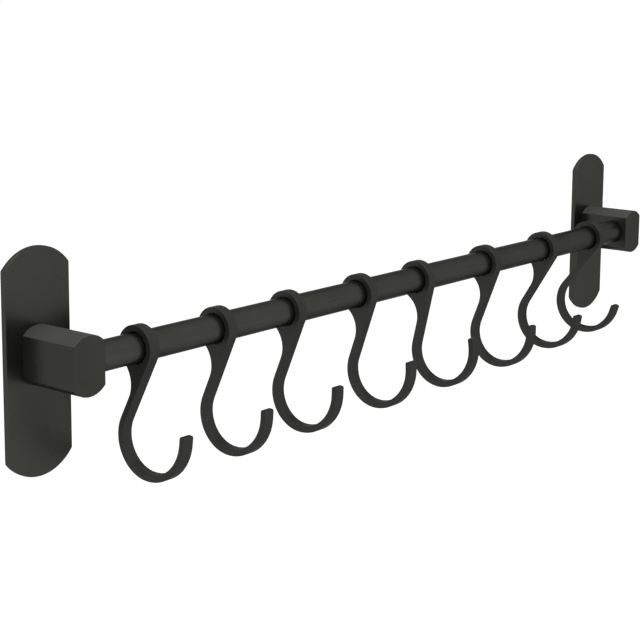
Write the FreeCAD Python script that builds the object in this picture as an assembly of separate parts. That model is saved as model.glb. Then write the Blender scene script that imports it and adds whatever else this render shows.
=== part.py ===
import FreeCAD, Part
import math
import os

V = FreeCAD.Vector

# Frame: X along the rail, wall plane at Y = 0 with the rail in front of it at negative Y, Z up.
# The origin is on the wall, midway between the plates and at half their height.

# brackets
plate_spacing = 542.0
plate_width = 42.0
plate_height = 118.0
plate_thick = 2.5
plate_end_radius = 26.5
plate_corner = 1.5
plate_edge = 0.6
pad_thick = 1.1
pad_inset = 0.8
arm_width = 20.5
arm_height = 31.0
arm_reach = 41.0
arm_end_radius = 14.0
arm_corner = 1.0
arm_edge = 0.6
arm_lift = 4.0

# rail and its sockets
rail_dia = 16.0
rail_wall = 1.2
rail_end_bevel = 0.3
rail_setback = 11.5
socket_depth = 14.0
socket_clear = 0.1
rail_end_clear = 0.5

# screws between plate and arm, and the grub screws under the arms
screw_dia = 4.0
thread_clear = 0.05
screw_length = 11.0
screw_head_dia = 7.5
screw_head_sink = 0.1
screw_hole_clear = 0.15
screw_spread = 16.0
screw_hole_spare = 1.5
screw_key = 2.5
screw_key_depth = 1.3
grub_length = 6.0
grub_key = 2.0
grub_key_depth = 2.2
grub_tip_bevel = 0.5

# hooks: one profile for all, set along the rail and swung as in the photograph
# a share of -1 puts a hook against the left arm, 1 against the right one
hook_width = 6.6
hook_ring_wall = 3.5
hook_bore_clear = 0.3
hook_bar = 3.75
hook_lean = 21.2
hook_web_radius = 15.0
hook_back_radius = 19.3
hook_front_radius = 24.3
hook_bend_drop = 46.6
hook_tip_run = 4.6
hook_tip_round = 1.0
hook_edge = 0.45
hook_bore_edge = 0.4
hook_shares = [-0.882, -0.654, -0.429, -0.173, 0.056, 0.348, 0.629, 0.878]
hook_swings = [6.2, 3.0, 1.2, -2.0, -8.2, 0.0, 10.5, 18.6]

# places that follow from the sizes above
rail_r = rail_dia / 2
plate_back = -pad_thick
plate_front = plate_back - plate_thick
arm_front = -arm_reach
rail_y = arm_front + rail_setback
rail_z = arm_lift
socket_r = rail_r + socket_clear
socket_floor = plate_spacing / 2 - arm_width / 2 + socket_depth
rail_half = socket_floor - rail_end_clear
screw_r = screw_dia / 2
hook_bore_r = rail_r + hook_bore_clear
hook_ring_r = hook_bore_r + hook_ring_wall
hook_reach = plate_spacing / 2 - arm_width / 2 - hook_width / 2


def solid_of(shape):
    return shape.Solids[0] if len(shape.Solids) == 1 else shape


def arc(a, b, c):
    return Part.Arc(a, b, c).toShape()


def line(a, b):
    return Part.LineSegment(a, b).toShape()


def at(centre, radius, degrees):
    # point on a circle in the YZ plane
    a = math.radians(degrees)
    return centre + V(0, radius * math.cos(a), radius * math.sin(a))


def capsule(width, height, end_radius, y_from, y_to, cx, cz):
    # straight upright sides and arc ends, standing along Y between two planes
    half = width / 2
    top = height / 2
    side = top - end_radius + math.sqrt(end_radius ** 2 - half ** 2)
    spots = [(-half, side), (0, top), (half, side), (half, -side), (0, -top), (-half, -side)]
    pts = [V(cx + x, y_from, cz + z) for x, z in spots]
    upper = arc(pts[0], pts[1], pts[2])
    lower = arc(pts[3], pts[4], pts[5])
    wire = Part.Wire([upper, line(pts[2], pts[3]), lower, line(pts[5], pts[0])])
    return Part.Face(wire).extrude(V(0, y_to - y_from, 0))


def round_corners(shape, radius):
    # the four corner edges, which run along Y
    found = [e for e in shape.Edges if len(e.Vertexes) == 2 and is_along_y(e)]
    return shape.makeFillet(radius, found)


def is_along_y(edge):
    a = edge.Vertexes[0].Point
    b = edge.Vertexes[1].Point
    return abs(a.x - b.x) < 1e-6 and abs(a.z - b.z) < 1e-6


def edges_on_plane(shape, y):
    return [e for e in shape.Edges if all(abs(e.valueAt(t).y - y) < 1e-6 for t in params(e))]


def params(edge):
    a = edge.FirstParameter
    b = edge.LastParameter
    return [a, (a + b) / 2, b]


def cylinder(radius, base, along, length):
    return Part.makeCylinder(radius, length, base, along)


def hex_bar(across, base, along, length):
    # hexagonal prism for key recesses
    corner = across / math.sqrt(3)
    side = V(1, 0, 0)
    up = along.cross(side)
    pts = []
    for k in range(7):
        a = math.radians(60 * k)
        pts.append(base + side * (corner * math.cos(a)) + up * (corner * math.sin(a)))
    return Part.Face(Part.makePolygon(pts)).extrude(along * length)


def screw_spots(cx):
    return [V(cx, plate_back, arm_lift + s * screw_spread / 2) for s in (-1, 1)]


def wall_plate(cx):
    plate = capsule(plate_width, plate_height, plate_end_radius, plate_back, plate_front, cx, 0)
    plate = round_corners(plate, plate_corner)
    plate = plate.makeFillet(plate_edge, edges_on_plane(plate, plate_front))
    hole_r = screw_r + screw_hole_clear
    rim_r = screw_head_dia / 2 + screw_head_sink
    for spot in screw_spots(cx):
        plate = plate.cut(cylinder(hole_r, spot, V(0, -1, 0), plate_thick))
        plate = plate.cut(Part.makeCone(rim_r, hole_r, rim_r - hole_r, spot, V(0, -1, 0)))
    return plate


def adhesive_pad(cx):
    width = plate_width - 2 * pad_inset
    height = plate_height - 2 * pad_inset
    pad = capsule(width, height, plate_end_radius - pad_inset, 0, plate_back, cx, 0)
    return round_corners(pad, plate_corner - pad_inset / 2)


def plate_screws(cx):
    # countersunk heads on the plate's own cone, just below its back face
    made = []
    head_r = screw_head_dia / 2
    for spot in screw_spots(cx):
        top = spot + V(0, -screw_head_sink, 0)
        head = Part.makeCone(head_r, screw_r, head_r - screw_r, top, V(0, -1, 0))
        screw = head.fuse(cylinder(screw_r, top, V(0, -1, 0), screw_length)).removeSplitter()
        screw = screw.cut(hex_bar(screw_key, top, V(0, -1, 0), screw_key_depth))
        made.append(solid_of(screw))
    return Part.makeCompound(made)


def grub_spot(side):
    # under the rail, at the middle of the socket's depth
    x = side * (socket_floor - socket_depth / 2)
    return V(x, rail_y, rail_z - rail_r)


def arm(side):
    cx = side * plate_spacing / 2
    body = capsule(arm_width, arm_height, arm_end_radius, plate_front, arm_front, cx, arm_lift)
    body = round_corners(body, arm_corner)
    body = body.makeFillet(arm_edge, edges_on_plane(body, arm_front))
    mouth = V(side * (socket_floor - socket_depth), rail_y, rail_z)
    body = body.cut(cylinder(socket_r, mouth, V(side, 0, 0), socket_depth))
    tapped_r = screw_r + thread_clear
    depth = screw_length - plate_thick + screw_hole_spare
    for spot in screw_spots(cx):
        start = V(spot.x, plate_front, spot.z)
        body = body.cut(cylinder(tapped_r, start, V(0, -1, 0), depth))
    body = body.cut(cylinder(tapped_r, grub_spot(side), V(0, 0, -1), arm_height / 2))
    return solid_of(body)


def grub_screw(side):
    tip = grub_spot(side)
    down = V(0, 0, -1)
    point = Part.makeCone(screw_r - grub_tip_bevel, screw_r, grub_tip_bevel, tip, down)
    shank = cylinder(screw_r, tip + down * grub_tip_bevel, down, grub_length - grub_tip_bevel)
    screw = point.fuse(shank).removeSplitter()
    key = hex_bar(grub_key, tip + down * grub_length, V(0, 0, 1), grub_key_depth)
    return solid_of(screw.cut(key))


def rail_tube():
    start = V(-rail_half, rail_y, rail_z)
    outer = cylinder(rail_r, start, V(1, 0, 0), 2 * rail_half)
    outer = outer.makeChamfer(rail_end_bevel, [e for e in outer.Edges if isinstance(e.Curve, Part.Circle)])
    return solid_of(outer.cut(cylinder(rail_r - rail_wall, start, V(1, 0, 0), 2 * rail_half)))


def hook_bends():
    # centres of the back bend and the front sweep, ring centre at zero, and the height of the tip
    lean = math.radians(hook_lean)
    inner_r = hook_back_radius - hook_bar / 2
    bend_y = (hook_bend_drop * math.sin(lean) - hook_ring_r - inner_r) / math.cos(lean)
    bend = V(0, bend_y, -hook_bend_drop)
    sweep = bend + V(0, 0, hook_front_radius - hook_back_radius)
    return bend, sweep, sweep.z + hook_tip_run


def hook_side(step, upper):
    # stem, back bend and front sweep of one side, from the top down to the tip
    bend, sweep, tip_z = hook_bends()
    r_back = hook_back_radius + step
    r_front = hook_front_radius + step
    stem_low = at(bend, r_back, hook_lean)
    front = at(sweep, r_front, 180)
    tip = V(0, front.y, tip_z)
    run = [line(upper, stem_low)]
    run.append(arc(stem_low, at(bend, r_back, (hook_lean - 90) / 2), at(bend, r_back, -90)))
    run.append(arc(at(sweep, r_front, -90), at(sweep, r_front, -135), front))
    run.append(line(front, tip))
    return run, tip


def hook_outline():
    # one closed run of arcs and lines in the YZ plane, each tangent to the next
    lean = math.radians(hook_lean)
    across = V(0, math.cos(lean), math.sin(lean))
    down = V(0, math.sin(lean), -math.cos(lean))
    half = hook_bar / 2
    zero = V(0, 0, 0)

    # the concave back of the web touches the ring and the back of the stem
    to_web = hook_bar - hook_ring_r + hook_web_radius
    far = hook_ring_r + hook_web_radius
    web = across * to_web + down * math.sqrt(far ** 2 - to_web ** 2)
    web_top = web * (hook_ring_r / far)
    web_low = web - across * hook_web_radius
    top_deg = math.degrees(math.atan2(web_top.z, web_top.y))
    web_mid_deg = (180 + top_deg + 180 + hook_lean) / 2

    ring_low = at(zero, hook_ring_r, 180 + hook_lean)
    edges = [arc(web_top, at(zero, hook_ring_r, 70), ring_low)]
    inner, tip_in = hook_side(-half, ring_low)
    outer, tip_out = hook_side(half, web_low)
    edges += inner
    edges.append(line(tip_in, tip_out))
    edges += outer
    edges.append(arc(web_low, at(web, hook_web_radius, web_mid_deg), web_top))
    return Part.Wire(Part.__sortEdges__(edges))


def hook_blank():
    # the flat-sided profile cut to width, tip corners and all long edges softened
    tip_z = hook_bends()[2]
    body = Part.Face(hook_outline()).extrude(V(hook_width, 0, 0))
    body.translate(V(-hook_width / 2, 0, 0))
    ends = [e for e in body.Edges if is_along_x(e) and abs(e.Vertexes[0].Point.z - tip_z) < 1e-6]
    body = body.makeFillet(hook_tip_round, ends)
    rims = [e for e in body.Edges if on_side_face(e)]
    body = body.makeFillet(hook_edge, rims)
    body = body.cut(cylinder(hook_bore_r, V(-hook_width, 0, 0), V(1, 0, 0), 2 * hook_width))
    circles = [e for e in body.Edges if isinstance(e.Curve, Part.Circle) and on_side_face(e)]
    bore = [e for e in circles if abs(e.Curve.Radius - hook_bore_r) < 1e-6]
    return solid_of(body.makeFillet(hook_bore_edge, bore))


def is_along_x(edge):
    a = edge.Vertexes[0].Point
    b = edge.Vertexes[-1].Point
    return abs(a.y - b.y) < 1e-6 and abs(a.z - b.z) < 1e-6 and abs(a.x - b.x) > 1e-6


def on_side_face(edge):
    return all(abs(abs(edge.valueAt(t).x) - hook_width / 2) < 1e-6 for t in params(edge))


def hook(blank, share, swing):
    # the ring is round the rail; the swing, in degrees, is about the rail and positive toward the wall
    made = blank.copy()
    made.rotate(V(0, 0, 0), V(1, 0, 0), swing)
    made.translate(V(share * hook_reach, rail_y, rail_z))
    return made


def build():
    parts = {}
    for name, side in (("left", -1), ("right", 1)):
        cx = side * plate_spacing / 2
        parts[name + "_wall_plate"] = solid_of(wall_plate(cx))
        parts[name + "_adhesive_pad"] = solid_of(adhesive_pad(cx))
        parts[name + "_arm"] = arm(side)
        parts[name + "_plate_screws"] = plate_screws(cx)
        parts[name + "_grub_screw"] = grub_screw(side)
    parts["rail_tube"] = rail_tube()
    blank = hook_blank()
    for i, (share, swing) in enumerate(zip(hook_shares, hook_swings)):
        parts["hook_%d" % (i + 1)] = hook(blank, share, swing)
    return parts


os.makedirs("parts", exist_ok=True)
for node, shape in build().items():
    shape.exportStep("parts/%s.step" % node)
    print(node, "solids", len(shape.Solids), "valid", shape.isValid(), "volume", round(shape.Volume, 1))
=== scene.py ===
import bpy
import math
from mathutils import Matrix

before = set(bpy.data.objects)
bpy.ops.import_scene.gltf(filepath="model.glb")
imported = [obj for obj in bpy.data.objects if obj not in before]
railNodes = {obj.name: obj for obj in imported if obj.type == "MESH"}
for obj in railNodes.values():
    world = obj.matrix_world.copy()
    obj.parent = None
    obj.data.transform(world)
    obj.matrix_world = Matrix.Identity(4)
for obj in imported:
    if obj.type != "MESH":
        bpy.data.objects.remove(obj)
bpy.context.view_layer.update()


# helpers for the node trees; new nodes stand in a row, in the order they are made

nodeStep = 220.0


def newTree(name):
    mat = bpy.data.materials.new(name)
    mat.use_nodes = True
    mat.node_tree.nodes.clear()
    return mat, mat.node_tree


def addNode(tree, kind, sockets=None, **settings):
    node = tree.nodes.new(kind)
    node.location = (nodeStep * len(tree.nodes), 0.0)
    for key, value in settings.items():
        setattr(node, key, value)
    for key, value in (sockets or {}).items():
        node.inputs[key].default_value = value
    return node


def wire(tree, fromNode, fromName, toNode, toName):
    tree.links.new(fromNode.outputs[fromName], toNode.inputs[toName])


def surfaceOf(tree, sockets):
    out = addNode(tree, "ShaderNodeOutputMaterial")
    shader = addNode(tree, "ShaderNodeBsdfPrincipled", sockets)
    wire(tree, shader, "BSDF", out, "Surface")
    return shader


def noiseOf(tree, source, space, sockets):
    noise = addNode(tree, "ShaderNodeTexNoise", sockets)
    wire(tree, source, space, noise, "Vector")
    return noise


def rampOf(tree, noise, stops, colours):
    ramp = addNode(tree, "ShaderNodeValToRGB")
    for point, stop, colour in zip(ramp.color_ramp.elements, stops, colours):
        point.position = stop
        point.color = (*colour, 1.0)
    wire(tree, noise, "Fac", ramp, "Fac")
    return ramp


def rangeOf(tree, source, name, low, high):
    span = addNode(tree, "ShaderNodeMapRange", {"To Min": low, "To Max": high})
    wire(tree, source, name, span, "Value")
    return span


def bumpOf(tree, source, name, sockets):
    bump = addNode(tree, "ShaderNodeBump", sockets)
    wire(tree, source, name, bump, "Height")
    return bump


def paint(mat, slotName, *names):
    for name in names:
        piece = railNodes[name]
        piece.data.materials.clear()
        piece.data.materials.append(mat)


# painted highlight: base colour made paler and less metallic on faces that look up, standing in for light
# from above, broken by the clouds
def paintTopLight(tree, look, cloud, tone, coat):
    face = addNode(tree, "ShaderNodeNewGeometry")
    split = addNode(tree, "ShaderNodeSeparateXYZ")
    wire(tree, face, "Normal", split, "Vector")
    upward = {"From Min": look["paintedTopLightFrom"], "From Max": look["paintedTopLightFull"]}
    facing = addNode(tree, "ShaderNodeMapRange", upward, interpolation_type="SMOOTHSTEP")
    wire(tree, split, "Z", facing, "Value")
    broken = rangeOf(tree, cloud, "Fac", *look["paintedTopLightBreak"])
    amount = addNode(tree, "ShaderNodeMath", operation="MULTIPLY")
    wire(tree, facing, "Result", amount, 0)
    wire(tree, broken, "Result", amount, 1)

    # the pale colour mixed in here is a painted highlight on upward faces
    pale = addNode(tree, "ShaderNodeMix", data_type="RGBA")
    pale.inputs["B"].default_value = (*look["paintedTopLight"], 1.0)
    wire(tree, amount, "Value", pale, "Factor")
    wire(tree, tone, "Result", pale, "A")
    wire(tree, pale, "Result", coat, "Base Color")
    metal = rangeOf(tree, amount, "Value", look["metal"], look["paintedTopLightMetal"])
    wire(tree, metal, "Result", coat, "Metallic")


# charcoal anodised metal: cloudy tone, fine blast grain, soft mirror of what stands near
def charcoalMetal(look):
    mat, tree = newTree(look["name"])
    coat = surfaceOf(tree, {
        "Metallic": look["metal"],
        "Specular Tint": look["grazing"],
        "Specular IOR Level": look["gloss"],
    })
    coords = addNode(tree, "ShaderNodeTexCoord")

    # slow clouds in the tone
    cloud = noiseOf(tree, coords, "Object", look["clouds"])
    tone = rampOf(tree, cloud, look["toneStops"], (look["dark"], look["light"]))

    # single grains that caught the light, drawn out along extruded pieces
    drawn = addNode(tree, "ShaderNodeMapping", {"Scale": look["grainStretch"]})
    wire(tree, coords, "Object", drawn, "Vector")
    grain = noiseOf(tree, drawn, "Vector", look["grain"])
    spots = rampOf(tree, grain, look["fleckStops"], ((0.0, 0.0, 0.0), (1.0, 1.0, 1.0)))
    flecked = addNode(tree, "ShaderNodeMix", data_type="RGBA", blend_type="ADD")
    flecked.inputs["B"].default_value = (*look["fleck"], 1.0)
    wire(tree, spots, "Color", flecked, "Factor")
    wire(tree, tone, "Color", flecked, "A")
    if look["paintedTopLight"] is None:
        wire(tree, flecked, "Result", coat, "Base Color")
    else:
        paintTopLight(tree, look, cloud, flecked, coat)

    # sheen differs from patch to patch
    sheen = rangeOf(tree, cloud, "Fac", *look["rough"])
    wire(tree, sheen, "Result", coat, "Roughness")

    # blast grain over a soft ripple
    ripple = noiseOf(tree, coords, "Object", look["ripple"])
    rippleBump = bumpOf(tree, ripple, "Fac", look["rippleBump"])
    grainBump = bumpOf(tree, grain, "Fac", look["grainBump"])
    wire(tree, rippleBump, "Normal", grainBump, "Normal")
    wire(tree, grainBump, "Normal", coat, "Normal")
    return mat


# wall plates

plateLook = {
    "name": "plateCoat",
    "dark": (0.0438, 0.0448, 0.0386),
    "light": (0.0494, 0.0505, 0.0437),
    "toneStops": (0.32, 0.68),
    "fleck": (0.014, 0.014, 0.0125),
    "fleckStops": (0.60, 0.78),
    "grazing": (0.5, 0.5, 0.5, 1.0),  # keeps faces seen at a slant dark
    "paintedTopLight": None,
    "metal": 0.86,
    "gloss": 0.0,
    "rough": (0.27, 0.35),
    "clouds": {"Scale": 26.0, "Detail": 4.0, "Roughness": 0.55},
    "grain": {"Scale": 1500.0, "Detail": 2.0, "Roughness": 0.6},
    "grainStretch": (1.0, 1.0, 1.0),
    "grainBump": {"Strength": 0.35, "Distance": 0.00010},
    "ripple": {"Scale": 380.0, "Detail": 1.0, "Roughness": 0.5},
    "rippleBump": {"Strength": 0.10, "Distance": 0.00010},
}
paint(charcoalMetal(plateLook), "bracket_coat", "left_wall_plate", "right_wall_plate")
print("wall plates coated")


# arms: the same metal, with the faint lines of the extruded bar toward the wall

armLook = {
    **plateLook,
    "name": "armCoat",
    "dark": (0.0398, 0.0406, 0.0352),
    "light": (0.0456, 0.0465, 0.0405),
    "metal": 0.68,
    "grainStretch": (1.0, 0.08, 1.0),
    # paler, less metallic colour on upward faces: a painted highlight standing in for light from above
    "paintedTopLight": (0.088, 0.087, 0.082),
    "paintedTopLightFrom": 0.30,
    "paintedTopLightFull": 0.72,
    "paintedTopLightBreak": (0.8, 1.0),
    "paintedTopLightMetal": 0.0,
}
paint(charcoalMetal(armLook), "bracket_coat", "left_arm", "right_arm")
print("arms coated")


# rail: drawn tube, its lines along the length

railLook = {
    **plateLook,
    "name": "railCoat",
    "dark": (0.0482, 0.0490, 0.0437),
    "light": (0.0545, 0.0553, 0.0494),
    "metal": 0.92,
    "grainStretch": (0.03, 1.0, 1.0),
    "rough": (0.26, 0.34),
    "clouds": {**plateLook["clouds"], "Scale": 34.0},
    "grazing": (0.40, 0.40, 0.40, 1.0),
}
paint(charcoalMetal(railLook), "rail_coat", "rail_tube")
print("rail coated")


# hooks: duller, so that their rings stay readable against the rail

hookLook = {
    **plateLook,
    "name": "hookCoat",
    "dark": (0.0388, 0.0388, 0.0363),
    "light": (0.0440, 0.0440, 0.0412),
    "rough": (0.36, 0.44),
    "metal": 0.54,
    "clouds": {**plateLook["clouds"], "Scale": 60.0},
}
hookNames = sorted(n for n in railNodes if n.startswith("hook_"))
paint(charcoalMetal(hookLook), "hook_coat", *hookNames)
print("hooks coated:", len(hookNames))


# adhesive pads: closed-cell foam, seen only from behind and along the plates' edges

padLook = {
    "name": "padFoam",
    "dark": (0.030, 0.030, 0.031),
    "light": (0.060, 0.060, 0.061),
    "toneStops": (0.3, 0.7),
    "gloss": 0.3,
    "rough": (0.72, 0.92),
    "mottle": {"Scale": 90.0, "Detail": 5.0, "Roughness": 0.6},
    "cells": {"Scale": 1400.0},
    "cellBump": {"Strength": 0.5, "Distance": 0.0002},
}


def foamPad(look):
    mat, tree = newTree(look["name"])
    foam = surfaceOf(tree, {"Specular IOR Level": look["gloss"]})
    coords = addNode(tree, "ShaderNodeTexCoord")
    mottle = noiseOf(tree, coords, "Object", look["mottle"])
    tone = rampOf(tree, mottle, look["toneStops"], (look["dark"], look["light"]))
    wire(tree, tone, "Color", foam, "Base Color")
    rough = rangeOf(tree, mottle, "Fac", *look["rough"])
    wire(tree, rough, "Result", foam, "Roughness")
    cells = addNode(tree, "ShaderNodeTexVoronoi", look["cells"])
    wire(tree, coords, "Object", cells, "Vector")
    bump = bumpOf(tree, cells, "Distance", look["cellBump"])
    wire(tree, bump, "Normal", foam, "Normal")
    return mat


paint(foamPad(padLook), "adhesive_foam", "left_adhesive_pad", "right_adhesive_pad")
print("pads done")


# screws: blackened steel with a worn, uneven surface

screwLook = {
    "name": "screwSteel",
    "dark": (0.16, 0.16, 0.165),
    "light": (0.30, 0.30, 0.305),
    "toneStops": (0.35, 0.65),
    "metal": 1.0,
    "rough": (0.30, 0.46),
    "marks": {"Scale": 900.0, "Detail": 6.0, "Roughness": 0.65},
    "markBump": {"Strength": 0.3, "Distance": 0.00004},
}


def screwSteel(look):
    mat, tree = newTree(look["name"])
    steel = surfaceOf(tree, {"Metallic": look["metal"]})
    coords = addNode(tree, "ShaderNodeTexCoord")
    marks = noiseOf(tree, coords, "Object", look["marks"])
    tone = rampOf(tree, marks, look["toneStops"], (look["dark"], look["light"]))
    wire(tree, tone, "Color", steel, "Base Color")
    rough = rangeOf(tree, marks, "Fac", *look["rough"])
    wire(tree, rough, "Result", steel, "Roughness")
    bump = bumpOf(tree, marks, "Fac", look["markBump"])
    wire(tree, bump, "Normal", steel, "Normal")
    return mat


screwNames = ["left_plate_screws", "right_plate_screws", "left_grub_screw", "right_grub_screw"]
paint(screwSteel(screwLook), "screw_steel", *screwNames)
print("screws done")


# studio: pale floor well below the rail, white surroundings, one soft light from above

studio = {
    "floorZ": -0.90,
    "floorSize": 60.0,
    "floorTone": (0.80, 0.80, 0.80, 1.0),
    "floorLift": 0.30,
    "worldTone": (1.0, 1.0, 1.0, 1.0),
    "worldLight": 0.75,  # what lights the rail
    "worldSeen": 1.0,  # what camera and reflections see
    "keyEnergy": 0.8,
    "keyAngle": 40.0,
    "keyFrom": (-0.15, -0.45, 1.0),
}


def whenSeen(tree):
    # one where the camera, a reflection or a see-through ray looks at the background
    path = addNode(tree, "ShaderNodeLightPath")
    first = addNode(tree, "ShaderNodeMath", operation="MAXIMUM")
    wire(tree, path, "Is Camera Ray", first, 0)
    wire(tree, path, "Is Glossy Ray", first, 1)
    both = addNode(tree, "ShaderNodeMath", operation="MAXIMUM")
    wire(tree, first, "Value", both, 0)
    wire(tree, path, "Is Transmission Ray", both, 1)
    return both


def buildFloor(look):
    bpy.ops.mesh.primitive_plane_add(size=look["floorSize"], location=(0.0, 0.0, look["floorZ"]))
    floor = bpy.context.object
    floor.name = "paleFloor"
    mat, tree = newTree("paleFloor")
    out = addNode(tree, "ShaderNodeOutputMaterial")
    total = addNode(tree, "ShaderNodeAddShader")
    matte = addNode(tree, "ShaderNodeBsdfDiffuse", {"Color": look["floorTone"]})
    lift = addNode(tree, "ShaderNodeEmission")
    scale = addNode(tree, "ShaderNodeMath", {1: look["floorLift"]}, operation="MULTIPLY")
    wire(tree, whenSeen(tree), "Value", scale, 0)
    wire(tree, scale, "Value", lift, "Strength")
    wire(tree, matte, "BSDF", total, 0)
    wire(tree, lift, "Emission", total, 1)
    wire(tree, total, "Shader", out, "Surface")
    floor.data.materials.append(mat)


def buildWorld(look):
    world = bpy.data.worlds.new("studioWhite")
    bpy.context.scene.world = world
    world.use_nodes = True
    tree = world.node_tree
    tree.nodes.clear()
    out = addNode(tree, "ShaderNodeOutputWorld")
    light = addNode(tree, "ShaderNodeBackground", {"Color": look["worldTone"]})
    level = rangeOf(tree, whenSeen(tree), "Value", look["worldLight"], look["worldSeen"])
    wire(tree, level, "Result", light, "Strength")
    wire(tree, light, "Background", out, "Surface")


def buildKey(look):
    lamp = bpy.data.lights.new("softKey", "SUN")
    lamp.energy = look["keyEnergy"]
    lamp.angle = math.radians(look["keyAngle"])
    key = bpy.data.objects.new("softKey", lamp)
    bpy.context.scene.collection.objects.link(key)
    x, y, z = look["keyFrom"]
    key.location = (x, y, z)
    key.rotation_euler = (math.atan2(math.hypot(x, y), z), 0.0, math.atan2(x, -y))  # shines at the origin


buildFloor(studio)
buildWorld(studio)
buildKey(studio)
print("studio lit")


# camera: the photograph's place, with a small fall of the lens so the plates stand nearly upright

shot = {
    "place": (-0.78289, -0.60361, 0.19382),
    "yaw": 0.8845,  # from straight at the wall toward the right end
    "pitch": -0.1572,
    "roll": 0.0064,
    "focalPixels": 1596.1,
    "picture": 640.0,  # pixels across
    "sensor": 36.0,
    "shiftY": -0.15,
}


def buildCamera(look):
    lens = bpy.data.cameras.new("photoCamera")
    lens.sensor_width = look["sensor"]
    lens.lens = look["focalPixels"] / look["picture"] * look["sensor"]
    lens.shift_y = look["shiftY"]
    cam = bpy.data.objects.new("photoCamera", lens)
    bpy.context.scene.collection.objects.link(cam)
    turn = Matrix.Rotation(-look["yaw"], 4, "Z")
    tilt = Matrix.Rotation(math.pi / 2 + look["pitch"], 4, "X")
    roll = Matrix.Rotation(look["roll"], 4, "Z")
    cam.matrix_world = Matrix.Translation(look["place"]) @ turn @ tilt @ roll
    bpy.context.scene.camera = cam


buildCamera(shot)
bpy.context.scene.view_settings.view_transform = "Standard"
print("camera set")
